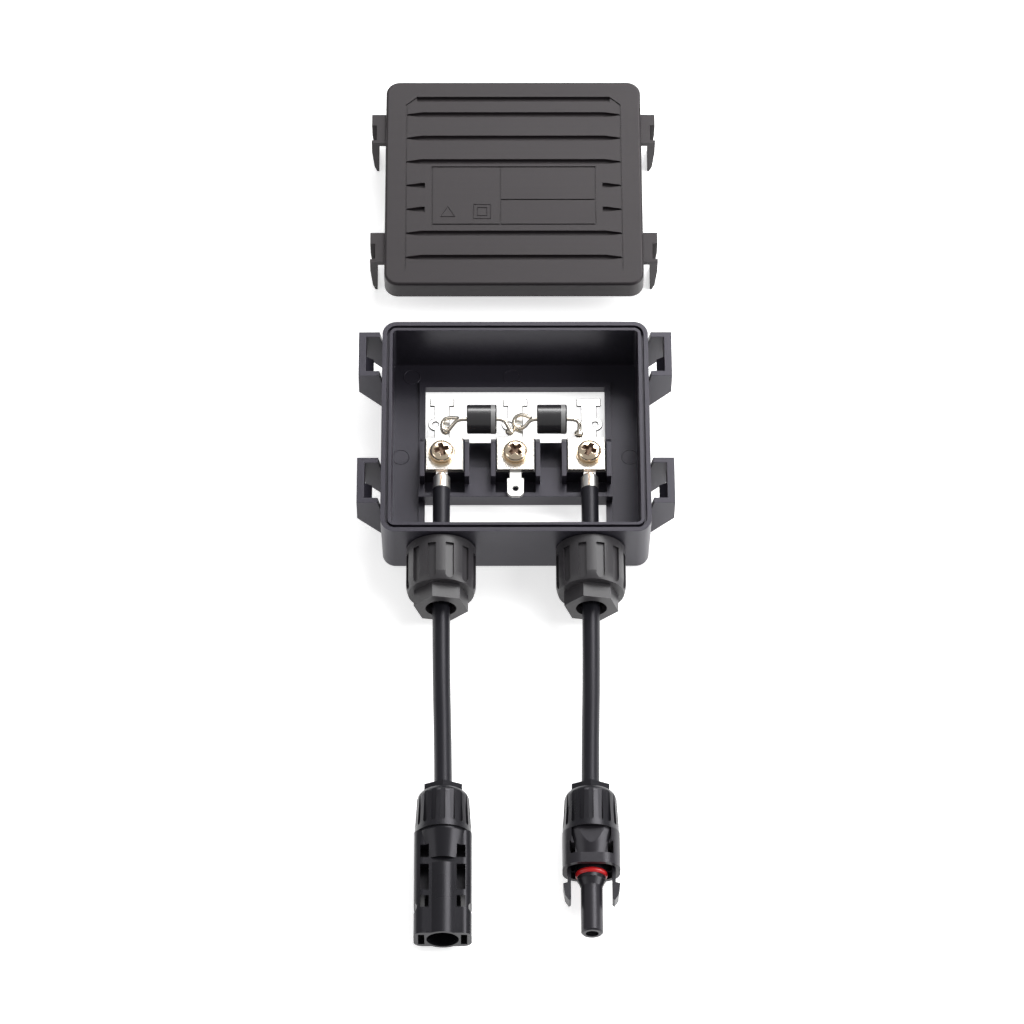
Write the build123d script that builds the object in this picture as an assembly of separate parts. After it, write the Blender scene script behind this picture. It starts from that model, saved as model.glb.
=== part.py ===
"""Photovoltaic junction box with its cover off, its terminals and two short leads.

The box base stands on the plane Z = 0 with its centre on the origin. X is its width and the
cable glands point to -Y. The cover lies behind the base on its four hooks, turned half round,
and each lead ends in its own connector lying on the same plane.
"""
import math
import os

from build123d import *

# Base box
BASE_WIDTH = 93.0
BASE_DEPTH = 84.6
BASE_HEIGHT = 25.7
CORNER_RADIUS = 5.0
WALL = 3.6
FLOOR = 2.5
DRAFT_ANGLE = 0.9
BOTTOM_ROUND = 0.9
RIM_LIP = 1.6
RIM_GROOVE = 0.9
RIM_GROOVE_DEPTH = 1.8

# Opening in the floor, through which the panel's ribbons come up
OPENING_WIDTH = 63.2
OPENING_BACK = 29.0
OPENING_FRONT = -30.0
OPENING_LIP = 2.2
OPENING_LIP_HEIGHT = 1.0

# Latch loops on the base and hooks on the cover
LATCH_SPACING = 51.2
LOOP_SHIFT = 5.0
LOOP_LENGTH = 18.0
LOOP_REACH = 8.3
LOOP_TOP = 23.2
LOOP_BAR = 2.6
LOOP_BAR_HEIGHT = 10.7
LOOP_PLATE = 2.0
LOOP_PLATE_HEIGHT = 21.4
LOOP_RELIEF = 1.0
LOOP_RELIEF_HEIGHT = 5.6
CATCH_REACH = 2.6
CATCH_WIDTH = 6.0
CATCH_HEIGHT = 3.0
CATCH_CLEARANCE = 0.2
HOOK_SHIFT = 1.2
HOOK_LENGTH = 12.4
HOOK_THICKNESS = 2.0
HOOK_DROP = 2.0
HOOK_LEG_WIDTH = 9.0
HOOK_LEG_THICKNESS = 2.8
HOOK_TIP = 0.8
HOOK_BARB_HEIGHT = 3.0
HOOK_GAP = 1.0

# Terminal bridge, moulded across the floor opening
TERMINAL_PITCH = 25.7
SEAT_SHIFT = 1.0
SCREW_Y = -3.3
BRIDGE_BACK = 5.2
BRIDGE_FRONT = -17.8
BRIDGE_BOTTOM = 1.0
BRIDGE_TOP = 5.0
BRIDGE_STEP = 7.0
BRIDGE_STEP_BACK = -6.0
BRIDGE_LEDGE = 1.7
PAD_TOP = 10.0
PAD_HALF = 7.0
PAD_BACK = 3.7
RIB = 1.6
RIB_TOP = 12.5
RIB_FRONT = -12.7
RIB_SLOPE = 2.5

# Terminal sets
RAIL_THICKNESS = 0.8
PLATE_WIDTH = 13.5
PLATE_BACK = 3.6
PLATE_FRONT = -10.0
TAB_BACK = 19.7
TAB_WIDTH = 8.5
TAB_BAR = 3.0
STEM_WIDTH = 5.4
EYE_X = -2.2
EYE_Y = 9.3
EYE_RADIUS = 2.6
EYE_HOLE = 1.0
NECK_WIDTH = 4.4
SPADE_WIDTH = 6.0
SPADE_BACK = -12.4
SPADE_TIP = -20.0
SPADE_HOLE_Y = -16.7
SPADE_HOLE = 0.9
CLAMP_THICKNESS = 1.0
CLAMP_INSET = 0.3
WASHER_RADIUS = 4.65
WASHER_THICKNESS = 0.8
SCREW_RADIUS = 1.95
SCREW_HEAD_RADIUS = 4.1
SCREW_HEAD_HEIGHT = 2.5
SCREW_LENGTH = 7.6
THREAD_CLEARANCE = 0.06
HOLE_CLEARANCE = 0.25
NUT_SIDE = 7.0
NUT_THICKNESS = 3.2
POCKET_CLEARANCE = 0.15

# Bypass diodes
DIODE_RADIUS = 5.1
DIODE_LENGTH = 10.4
DIODE_X = 12.25
DIODE_SHIFT = 0.5
DIODE_Y = 9.3
DIODE_Z = 14.1
LEAD_RADIUS = 0.7
LEAD_STRAIGHT = 2.3
LEAD_BEND = 1.4
SOLDER_RADIUS = 1.7
SOLDER_HEIGHT = 1.3

# Cable, glands
CABLE_RADIUS = 3.0
GLAND_Z = 12.5
SPIGOT_RADIUS = 8.5
SPIGOT_BORE = 5.0
SPIGOT_LENGTH = 13.2
WALL_HOLE_CLEARANCE = 0.3
GLAND_NUT_RADIUS = 12.0
GLAND_NUT_START = 0.4
GLAND_NUT_LENGTH = 22.5
GLAND_COLLAR = 3.0
GLAND_DOME_START = 14.4
GLAND_HEX_START = 17.4
GLAND_HEX_FLATS = 16.5
GLAND_HEX_TURN = -12.7
GLAND_NOSE_BORE = 5.3
FLUTES = 12
FLUTE_WIDTH = 2.9
FLUTE_DEPTH = 0.9
CLAW_LENGTH = 4.4
CLAW_FINGERS = 12

# Crimped conductor ends
CRIMP_BACK = -13.4
CRIMP_LENGTH = 5.0
CRIMP_RADIUS = 3.0
CONDUCTOR_RADIUS = 2.1
STRAND_LENGTH = 0.9

# Leads' routes, as distances to the left or right of the middle, along Y and above the plane
CABLE_BEND_1 = -80.0
CABLE_BEND_2 = -124.0
CONNECTOR_X = 24.6
CONNECTOR_Y = -132.4
CABLE_END = 16.5

# Connectors, as distances from the back of their nuts
CONNECTOR_NUT_RADIUS = 9.5
CONNECTOR_NUT_BACK_RADIUS = 8.75
CONNECTOR_NUT_LENGTH = 17.6
CONNECTOR_HEX_FLATS = 12.6
CONNECTOR_HEX_LENGTH = 2.4
CONNECTOR_SHOULDER_END = 5.2
CONNECTOR_FLUTES = 18
CONNECTOR_FLUTE_WIDTH = 1.6
CONNECTOR_FLUTE_DEPTH = 1.0
CONNECTOR_FLUTE_START = 3.4
CONNECTOR_FLUTE_END = 15.6
CONNECTOR_THREAD_RADIUS = 7.2
CONNECTOR_SEAL_RADIUS = 5.0
CONNECTOR_BACK = 6.0
CONNECTOR_CLAW_LENGTH = 2.2
CONNECTOR_WIDTH = 19.2
CONNECTOR_CONE_BACK = 8.8
CONNECTOR_CONE_FRONT = 6.7
CONNECTOR_CONE_LENGTH = 10.4
CONTACT_RADIUS = 3.1
CONTACT_CRIMP = 7.0
PIN_RADIUS = 2.0
SOCKET_FRONT = 55.2
SOCKET_HEIGHT = 10.6
SOCKET_TUBE_RADIUS = 6.4
SOCKET_MOUTH_RADIUS = 5.35
SOCKET_MOUTH_DEPTH = 9.0
SOCKET_BORE_RADIUS = 3.45
SOCKET_WINDOW_INNER = 4.6
SOCKET_RAIL = 2.1
SOCKET_WEB = 1.6
SOCKET_WAIST = 45.4
SOCKET_WAIST_DEPTH = 1.1
SOCKET_WAIST_RADIUS = 1.9
SOCKET_SLOT_X = 7.05
SOCKET_SLOT_WIDTH = 2.1
SOCKET_SLOT_HEIGHT = 7.4
PLUG_BODY_END = 30.7
PLUG_HEIGHT = 15.4
PLUG_CORNER = 6.0
PLUG_DECK = 5.4
PLUG_BAND = 3.6
PLUG_WINDOW_X = 6.3
PLUG_WINDOW_WIDTH = 1.9
PLUG_WINDOW_LENGTH = 4.6
PLUG_WALL = 1.5
PLUG_CAVITY = 8.0
PLUG_COLLAR_RADIUS = 4.75
PLUG_COLLAR_END = 34.2
PLUG_NOSE_RADIUS = 3.65
PLUG_NOSE_END = 53.2
PLUG_NOSE_BORE = 2.15
O_RING_AT = 32.0
O_RING_SECTION = 0.95
O_RING_SEAT = 3.5
ARM_X = 7.4
ARM_THICKNESS = 1.1
ARM_HEIGHT = 5.4
ARM_END = 42.3
BARB_LENGTH = 6.6
BARB_DEPTH = 1.5

# Cover
COVER_WIDTH = BASE_WIDTH - 0.8
COVER_DEPTH = BASE_DEPTH + 3.0
COVER_HEIGHT = 20.0
COVER_SKIRT = 8.0
COVER_TOP = 2.4
COVER_ROUND = 0.9
COVER_X = -0.3
COVER_GAP = 19.3
TONGUE = 0.6
TONGUE_DEPTH = 1.4
SEAL_WIDTH = 1.7
SEAL_HEIGHT = 2.2
CHANNEL_WALL = 1.2
CHANNEL_RECESS = 0.8
GROOVE_PITCH = 10.27
GROOVE_WIDTH = 2.3
GROOVE_DEPTH = 1.2
GROOVE_TAPER = 5.6
FIRST_GROOVE_Y = 36.0
PANEL_HALF = 38.6
PANEL_FRONT = -37.0
PANEL_CHAMFER = 3.6
SHORT_GROOVE = 6.8
LINE_WIDTH = 0.5
LINE_DEPTH = 0.4
LABEL_HALF = 29.2
LABEL_BACK = 6.4
LABEL_FRONT = -18.3
LABEL_POST = -4.8
LABEL_RAIL = -7.7

# Places that follow from the sizes above
FRONT_Y = -BASE_DEPTH / 2
RAIL_TOP = PAD_TOP + RAIL_THICKNESS
CLAMP_TOP = RAIL_TOP + CLAMP_THICKNESS
WASHER_TOP = CLAMP_TOP + WASHER_THICKNESS
CABLE_START = CRIMP_BACK - CRIMP_LENGTH
CONNECTOR_Z = CONNECTOR_NUT_RADIUS
COVER_Y = BASE_DEPTH / 2 + COVER_GAP + COVER_DEPTH / 2
SKIRT_BOTTOM = COVER_HEIGHT - COVER_SKIRT
LATCH_PLACES = (LATCH_SPACING / 2, -LATCH_SPACING / 2)
SIDES = {"left": -1, "right": 1}
TERMINALS = {"left": -TERMINAL_PITCH, "middle": 0.0, "right": TERMINAL_PITCH}
SEATS = {"left": SEAT_SHIFT, "middle": 0.0, "right": -SEAT_SHIFT}


def block(x_span, y_span, z_span):
    """Box between three pairs of limits."""
    spans = (x_span, y_span, z_span)
    middle = [(low + high) / 2 for low, high in spans]
    sizes = [abs(high - low) for low, high in spans]
    return Pos(*middle) * Box(*sizes)


def slab(width, depth, radius, bottom, top):
    """Plate with rounded corners, centred on the Z axis."""
    return Pos(0, 0, bottom) * extrude(RectangleRounded(width, depth, radius), amount=top - bottom)


def rim_ring(outer_inset, inner_inset, bottom, top):
    """Ring that follows the base's outline between two distances inside it."""
    outer_radius = max(CORNER_RADIUS - outer_inset, 0.6)
    inner_radius = max(CORNER_RADIUS - inner_inset, 0.6)
    outer = slab(BASE_WIDTH - 2 * outer_inset, BASE_DEPTH - 2 * outer_inset, outer_radius, bottom, top)
    inner = slab(BASE_WIDTH - 2 * inner_inset, BASE_DEPTH - 2 * inner_inset, inner_radius, bottom, top)
    return outer - inner


def turned(*corners):
    """Solid turned about Z from (radius, height) corners."""
    outline = Polyline(*[(radius, 0, height) for radius, height in corners], close=True)
    return revolve(make_face(outline), axis=Axis.Z)


def sleeve(outer, inner, bottom, top):
    """Plain tube about Z, or a rod where the inner radius is 0."""
    return turned((inner, bottom), (outer, bottom), (outer, top), (inner, top))


def outward(x, y, z):
    """Frame whose Z axis points out of the box's front wall, along -Y."""
    return Plane(origin=(x, y, z), x_dir=(1, 0, 0), z_dir=(0, -1, 0)).location


def latch_loop():
    """Loop on the right-hand wall, with its middle at Y = 0: two side plates, an outer bar and a catch."""
    wall = BASE_WIDTH / 2 - 1.0
    outer = BASE_WIDTH / 2 + LOOP_REACH
    inner_bar = outer - LOOP_BAR
    plate_outline = Polyline(
        (wall, LOOP_TOP - LOOP_RELIEF_HEIGHT),
        (BASE_WIDTH / 2, LOOP_TOP - LOOP_RELIEF_HEIGHT),
        (BASE_WIDTH / 2 + LOOP_RELIEF, LOOP_TOP),
        (outer, LOOP_TOP),
        (outer, LOOP_TOP - LOOP_BAR_HEIGHT),
        (BASE_WIDTH / 2, LOOP_TOP - LOOP_PLATE_HEIGHT),
        (wall, LOOP_TOP - LOOP_PLATE_HEIGHT),
        close=True,
    )
    plate = extrude(Plane.XZ * make_face(plate_outline), amount=LOOP_PLATE)
    loop = Pos(0, LOOP_LENGTH / 2, 0) * plate + Pos(0, LOOP_PLATE - LOOP_LENGTH / 2, 0) * plate
    bar_bottom = LOOP_TOP - LOOP_BAR_HEIGHT
    loop += block((inner_bar, outer), (-LOOP_LENGTH / 2, LOOP_LENGTH / 2), (bar_bottom, LOOP_TOP))
    catch_bottom = BASE_HEIGHT - SKIRT_BOTTOM + HOOK_BARB_HEIGHT + CATCH_CLEARANCE
    catch_outline = Polyline(
        (inner_bar, catch_bottom),
        (inner_bar - CATCH_REACH, catch_bottom),
        (inner_bar - CATCH_REACH, catch_bottom + CATCH_HEIGHT / 3),
        (inner_bar, catch_bottom + CATCH_HEIGHT),
        close=True,
    )
    leg_y = HOOK_SHIFT + (HOOK_LENGTH - HOOK_LEG_WIDTH) / 2
    catch = extrude(Plane.XZ * make_face(catch_outline), amount=CATCH_WIDTH)
    return loop + Pos(0, leg_y - LOOP_SHIFT + CATCH_WIDTH / 2, 0) * catch


def terminal_seat():
    """Pad and ribs below one terminal, centred on X = 0."""
    pad = block((-PAD_HALF, PAD_HALF), (PLATE_FRONT, PAD_BACK), (BRIDGE_BOTTOM, PAD_TOP))
    rib_outline = Polyline(
        (RIB_FRONT, BRIDGE_BOTTOM),
        (RIB_FRONT, RIB_TOP),
        (PAD_BACK - RIB_SLOPE, RIB_TOP),
        (PAD_BACK, RIB_TOP - RIB_SLOPE),
        (PAD_BACK, BRIDGE_BOTTOM),
        close=True,
    )
    rib = extrude(Plane.YZ * make_face(rib_outline), amount=RIB)
    return pad + Pos(PAD_HALF, 0, 0) * rib + Pos(-PAD_HALF - RIB, 0, 0) * rib


def nut_pocket():
    """Cut for one captive nut and the screw's tip below it, centred on X = 0."""
    half = NUT_SIDE / 2 + POCKET_CLEARANCE
    bottom = PAD_TOP - NUT_THICKNESS
    pocket = block((-half, half), (SCREW_Y - half, SCREW_Y + half), (bottom, PAD_TOP))
    well = sleeve(SCREW_RADIUS + 0.5, 0, WASHER_TOP - SCREW_LENGTH - 1.0, PAD_TOP)
    return pocket + Pos(0, SCREW_Y, 0) * well


def terminal_bridge():
    """Beam across the floor opening with a stepped front and three terminal seats."""
    reach = OPENING_WIDTH / 2 + OPENING_LIP
    beam = block((-reach, reach), (BRIDGE_FRONT, BRIDGE_BACK), (BRIDGE_BOTTOM, BRIDGE_TOP))
    beam += block((-reach, reach), (BRIDGE_FRONT, BRIDGE_STEP_BACK), (BRIDGE_BOTTOM, BRIDGE_STEP))
    well = (BRIDGE_FRONT + BRIDGE_LEDGE, PLATE_FRONT)
    for name, x in TERMINALS.items():
        middle = x + SEATS[name]
        beam -= block((middle - PAD_HALF, middle + PAD_HALF), well, (BRIDGE_TOP - 1.5, BRIDGE_STEP))
        beam += Pos(middle, 0, 0) * terminal_seat()
        beam -= Pos(x, 0, 0) * nut_pocket()
    return beam


def base_shell():
    top_outline = Pos(0, 0, BASE_HEIGHT) * RectangleRounded(BASE_WIDTH, BASE_DEPTH, CORNER_RADIUS)
    shell = extrude(top_outline, amount=BASE_HEIGHT, dir=(0, 0, -1), taper=DRAFT_ANGLE)
    shell = fillet(shell.faces().sort_by(Axis.Z)[0].edges(), BOTTOM_ROUND)
    inside = (BASE_WIDTH - 2 * WALL, BASE_DEPTH - 2 * WALL, CORNER_RADIUS - WALL)
    shell -= slab(*inside, FLOOR, BASE_HEIGHT)
    groove_bottom = BASE_HEIGHT - RIM_GROOVE_DEPTH
    shell -= rim_ring(RIM_LIP, RIM_LIP + RIM_GROOVE, groove_bottom, BASE_HEIGHT)
    half = OPENING_WIDTH / 2
    lip_x = (-half - OPENING_LIP, half + OPENING_LIP)
    lip_y = (OPENING_FRONT - OPENING_LIP, OPENING_BACK + OPENING_LIP)
    shell += block(lip_x, lip_y, (FLOOR / 2, FLOOR + OPENING_LIP_HEIGHT))
    shell -= block((-half, half), (OPENING_FRONT, OPENING_BACK), (-1, FLOOR + 2 * OPENING_LIP_HEIGHT))
    shell += terminal_bridge()
    loop = latch_loop()
    for place in LATCH_PLACES:
        shell += Pos(0, LOOP_SHIFT + place, 0) * loop
        shell += Pos(0, LOOP_SHIFT + place, 0) * mirror(loop, about=Plane.YZ)
    hole = CABLE_RADIUS + WALL_HOLE_CLEARANCE
    for side in SIDES.values():
        front = outward(side * TERMINAL_PITCH, FRONT_Y, GLAND_Z)
        shell += front * sleeve(SPIGOT_RADIUS, 0, -WALL / 2, SPIGOT_LENGTH)
        shell -= front * sleeve(SPIGOT_BORE, 0, 0, SPIGOT_LENGTH)
        shell -= front * sleeve(hole, 0, -WALL - 1, SPIGOT_LENGTH)
    return shell


def groove(left, right, y, left_point=True, right_point=True):
    """Cut of one groove in the cover's top: full width in the middle and pointed at its open ends."""
    half = GROOVE_WIDTH / 2
    start = left + GROOVE_TAPER if left_point else left
    end = right - GROOVE_TAPER if right_point else right
    corners = [(start, half), (end, half)]
    corners += [(right, LINE_WIDTH / 2), (right, -LINE_WIDTH / 2)] if right_point else []
    corners += [(end, -half), (start, -half)]
    corners += [(left, -LINE_WIDTH / 2), (left, LINE_WIDTH / 2)] if left_point else []
    outline = make_face(Polyline(*corners, close=True))
    return Pos(0, y, COVER_HEIGHT - GROOVE_DEPTH) * extrude(outline, amount=GROOVE_DEPTH)


def line_cut(start, end):
    """Fine engraved line in the cover's top."""
    length = math.dist(start, end)
    angle = math.degrees(math.atan2(end[1] - start[1], end[0] - start[0]))
    middle = ((start[0] + end[0]) / 2, (start[1] + end[1]) / 2, COVER_HEIGHT - LINE_DEPTH / 2)
    return Pos(*middle) * Rot(0, 0, angle) * Box(length + LINE_WIDTH, LINE_WIDTH, LINE_DEPTH)


def cover_pattern():
    """Grooves, panel border and blank label field, as one list of cuts."""
    corner_x = PANEL_HALF - PANEL_CHAMFER
    top_y = FIRST_GROOVE_Y + GROOVE_WIDTH / 2
    side_y = top_y - PANEL_CHAMFER
    first = Pos(0, FIRST_GROOVE_Y, COVER_HEIGHT - GROOVE_DEPTH / 2)
    cuts = [first * Box(2 * corner_x, GROOVE_WIDTH, GROOVE_DEPTH)]
    for side in SIDES.values():
        cuts.append(line_cut((side * corner_x, top_y - LINE_WIDTH), (side * PANEL_HALF, side_y)))
        cuts.append(line_cut((side * PANEL_HALF, side_y), (side * PANEL_HALF, PANEL_FRONT)))
    for number in range(1, 8):
        y = FIRST_GROOVE_Y - 6.8 - (number - 1) * GROOVE_PITCH
        if number in (4, 5):
            cuts.append(groove(-PANEL_HALF, SHORT_GROOVE - PANEL_HALF, y, right_point=False))
            cuts.append(groove(PANEL_HALF - SHORT_GROOVE, PANEL_HALF, y, left_point=False))
        else:
            cuts.append(groove(-PANEL_HALF, PANEL_HALF, y))
    back_left, back_right = (-LABEL_HALF, LABEL_BACK), (LABEL_HALF, LABEL_BACK)
    front_left, front_right = (-LABEL_HALF, LABEL_FRONT), (LABEL_HALF, LABEL_FRONT)
    cuts.append(line_cut(back_left, back_right))
    cuts.append(line_cut(front_left, front_right))
    cuts.append(line_cut(front_left, back_left))
    cuts.append(line_cut(front_right, back_right))
    cuts.append(line_cut((LABEL_POST, LABEL_FRONT), (LABEL_POST, LABEL_BACK)))
    cuts.append(line_cut((LABEL_POST, LABEL_RAIL), (LABEL_HALF, LABEL_RAIL)))
    return cuts


def cover_hook():
    """Hook on the cover's right-hand side, with its flange's middle at Y = 0 and its leg at the front end."""
    side = COVER_WIDTH / 2
    loop_inner = BASE_WIDTH / 2 + LOOP_REACH - LOOP_BAR
    outer = loop_inner - HOOK_GAP
    inner = outer - HOOK_LEG_THICKNESS
    top = COVER_HEIGHT - HOOK_DROP
    bottom = top - HOOK_THICKNESS
    barb_outer = loop_inner - CATCH_REACH + 0.9
    hook = block((side - 1.0, outer), (-HOOK_LENGTH / 2, HOOK_LENGTH / 2), (bottom, top))
    leg_outline = Polyline(
        (inner, bottom),
        (outer, bottom),
        (outer, bottom - 4.0),
        (barb_outer, HOOK_BARB_HEIGHT),
        (inner + 0.4 + HOOK_TIP, 0),
        (inner + 0.4, 0),
        close=True,
    )
    leg = extrude(Plane.XZ * make_face(leg_outline), amount=HOOK_LEG_WIDTH)
    hook += Pos(0, HOOK_LEG_WIDTH - HOOK_LENGTH / 2, 0) * leg
    pocket_x = (loop_inner - CATCH_REACH - CATCH_CLEARANCE, outer + 1.0)
    leg_middle = (HOOK_LEG_WIDTH - HOOK_LENGTH) / 2
    pocket_half = CATCH_WIDTH / 2 + 0.3
    pocket_y = (leg_middle - pocket_half, leg_middle + pocket_half)
    return hook - block(pocket_x, pocket_y, (HOOK_BARB_HEIGHT, top + 1.0))


def cover_place(piece):
    return Pos(COVER_X, COVER_Y, 0) * piece


def cover_shell():
    cover = slab(COVER_WIDTH, COVER_DEPTH, CORNER_RADIUS, SKIRT_BOTTOM, COVER_HEIGHT)
    cover = fillet(cover.faces().sort_by(Axis.Z)[-1].edges(), COVER_ROUND)
    tongue_outer = RIM_LIP + (RIM_GROOVE - TONGUE) / 2
    seal_outer = tongue_outer + TONGUE
    seal_inner = seal_outer + SEAL_WIDTH
    inset = seal_inner + CHANNEL_WALL
    under = COVER_HEIGHT - COVER_TOP
    cover -= slab(BASE_WIDTH - 2 * inset, BASE_DEPTH - 2 * inset, 1.0, SKIRT_BOTTOM, under)
    cover -= rim_ring(seal_outer, seal_inner, SKIRT_BOTTOM, SKIRT_BOTTOM + SEAL_HEIGHT)
    cover -= rim_ring(seal_inner - 0.1, inset + 0.1, SKIRT_BOTTOM, SKIRT_BOTTOM + CHANNEL_RECESS)
    cover += rim_ring(tongue_outer, seal_outer, SKIRT_BOTTOM - TONGUE_DEPTH, SKIRT_BOTTOM + 0.5)
    hook = cover_hook()
    for place in LATCH_PLACES:
        cover += Pos(0, place - HOOK_SHIFT, 0) * hook
        cover += Pos(0, place - HOOK_SHIFT, 0) * mirror(hook, about=Plane.YZ)
    for cut in cover_pattern():
        cover -= cut
    return cover_place(cover)


def cover_seal():
    outer = RIM_LIP + (RIM_GROOVE + TONGUE) / 2
    ring = rim_ring(outer, outer + SEAL_WIDTH, SKIRT_BOTTOM, SKIRT_BOTTOM + SEAL_HEIGHT)
    return cover_place(ring)


def terminal_rail(kind):
    """Stamped strip with its screw on X = 0: T tab, screw plate and crimp barrel or spade."""
    turn = -1 if kind == "right" else 1
    back_bar = (TAB_BACK - TAB_BAR, TAB_BACK)
    level = (PAD_TOP, RAIL_TOP)
    rail = block((-TAB_WIDTH / 2, TAB_WIDTH / 2), back_bar, level)
    rail += block((-STEM_WIDTH / 2, STEM_WIDTH / 2), (PLATE_BACK - 1.0, TAB_BACK - 1.0), level)
    plate = block((-PLATE_WIDTH / 2, PLATE_WIDTH / 2), (PLATE_FRONT, PLATE_BACK), level)
    rail += Pos(SEATS[kind], 0, 0) * plate
    rail += Pos(turn * EYE_X, EYE_Y, 0) * sleeve(EYE_RADIUS, 0, *level)
    rail -= Pos(turn * EYE_X, EYE_Y, 0) * sleeve(EYE_HOLE, 0, *level)
    rail -= Pos(0, SCREW_Y, 0) * sleeve(SCREW_RADIUS + HOLE_CLEARANCE, 0, *level)
    neck = (-NECK_WIDTH / 2, NECK_WIDTH / 2)
    if kind == "middle":
        rail += block(neck, (SPADE_BACK - 0.5, PLATE_FRONT + 1.0), level)
        half = SPADE_WIDTH / 2
        spade_outline = Polyline(
            (-half, SPADE_BACK), (half, SPADE_BACK),
            (half, SPADE_TIP + 1.3), (half - 1.3, SPADE_TIP),
            (1.3 - half, SPADE_TIP), (-half, SPADE_TIP + 1.3),
            close=True,
        )
        spade = extrude(make_face(spade_outline), amount=RAIL_THICKNESS)
        rail += Pos(0, 0, PAD_TOP) * spade
        return rail - Pos(0, SPADE_HOLE_Y, 0) * sleeve(SPADE_HOLE, 0, *level)
    rail += block(neck, (CRIMP_BACK - 1.0, PLATE_FRONT + 1.0), level)
    barrel = outward(0, CRIMP_BACK, GLAND_Z)
    rail += barrel * sleeve(CRIMP_RADIUS, 0, 0, CRIMP_LENGTH)
    return rail - barrel * sleeve(CONDUCTOR_RADIUS, 0, -1.0, CRIMP_LENGTH)


def clamp_plate(kind):
    half = PLATE_WIDTH / 2 - CLAMP_INSET
    plate_y = (PLATE_FRONT + CLAMP_INSET, PLATE_BACK - CLAMP_INSET)
    plate = Pos(SEATS[kind], 0, 0) * block((-half, half), plate_y, (RAIL_TOP, CLAMP_TOP))
    return plate - Pos(0, SCREW_Y, 0) * sleeve(SCREW_RADIUS + HOLE_CLEARANCE, 0, RAIL_TOP, CLAMP_TOP)


def terminal_washer():
    washer = sleeve(WASHER_RADIUS, SCREW_RADIUS + HOLE_CLEARANCE, CLAMP_TOP, WASHER_TOP)
    return Pos(0, SCREW_Y, 0) * washer


def terminal_screw():
    """Pan-head screw with a cross recess."""
    head_top = WASHER_TOP + SCREW_HEAD_HEIGHT
    shoulder = WASHER_TOP + SCREW_HEAD_HEIGHT * 0.45
    head_outline = (
        Polyline((0, 0, head_top), (0, 0, WASHER_TOP), (SCREW_HEAD_RADIUS, 0, WASHER_TOP),
                 (SCREW_HEAD_RADIUS, 0, shoulder))
        + ThreePointArc((SCREW_HEAD_RADIUS, 0, shoulder),
                        (SCREW_HEAD_RADIUS * 0.72, 0, head_top - 0.32), (0, 0, head_top))
    )
    screw = revolve(make_face(head_outline), axis=Axis.Z)
    screw += sleeve(SCREW_RADIUS, 0, WASHER_TOP - SCREW_LENGTH, WASHER_TOP + 0.5)
    recess = Pos(0, 0, head_top) * Box(4.6, 1.0, 2.6) + Pos(0, 0, head_top) * Box(1.0, 4.6, 2.6)
    return Pos(0, SCREW_Y, 0) * Rot(0, 0, 20) * (screw - recess)


def terminal_nut():
    half = NUT_SIDE / 2
    nut = block((-half, half), (SCREW_Y - half, SCREW_Y + half), (PAD_TOP - NUT_THICKNESS, PAD_TOP))
    bore = sleeve(SCREW_RADIUS + THREAD_CLEARANCE, 0, PAD_TOP - NUT_THICKNESS, PAD_TOP)
    return nut - Pos(0, SCREW_Y, 0) * bore


def diode_body(x):
    """Moulded barrel lying along X."""
    barrel = chamfer(Cylinder(DIODE_RADIUS, DIODE_LENGTH).edges(), 0.3)
    return Pos(x, DIODE_Y, DIODE_Z) * Rot(0, 90, 0) * barrel


def diode_lead(x, side, target):
    """Wire from one end of a diode, bent down to a solder joint on a rail."""
    start = (x + side * DIODE_LENGTH / 2, DIODE_Y, DIODE_Z)
    bend = (start[0] + side * LEAD_STRAIGHT, DIODE_Y, DIODE_Z)
    foot = (*target, RAIL_TOP + LEAD_RADIUS)
    path = FilletPolyline(start, bend, foot, radius=LEAD_BEND)
    section = Plane(origin=start, z_dir=(side, 0, 0)) * Circle(LEAD_RADIUS)
    return sweep(section, path=path)


def solder_joint(target):
    """Cone of solder round the foot of a lead."""
    cone = turned((0, 0), (SOLDER_RADIUS, 0), (LEAD_RADIUS + 0.2, SOLDER_HEIGHT), (0, SOLDER_HEIGHT + 0.2))
    return Pos(*target, RAIL_TOP) * cone


def flute_cut(radius, width, depth, start, end):
    """Cut of one flute along a nut's side at +X, square at its start and rounded at its end."""
    reach = 2 * depth
    middle = radius - depth + reach / 2
    straight = end - start - width / 2
    cut = Pos(middle, 0, start + straight / 2) * Box(reach, width, straight)
    return cut + Pos(middle, 0, start + straight) * Rot(0, 90, 0) * Cylinder(width / 2, reach)


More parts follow.
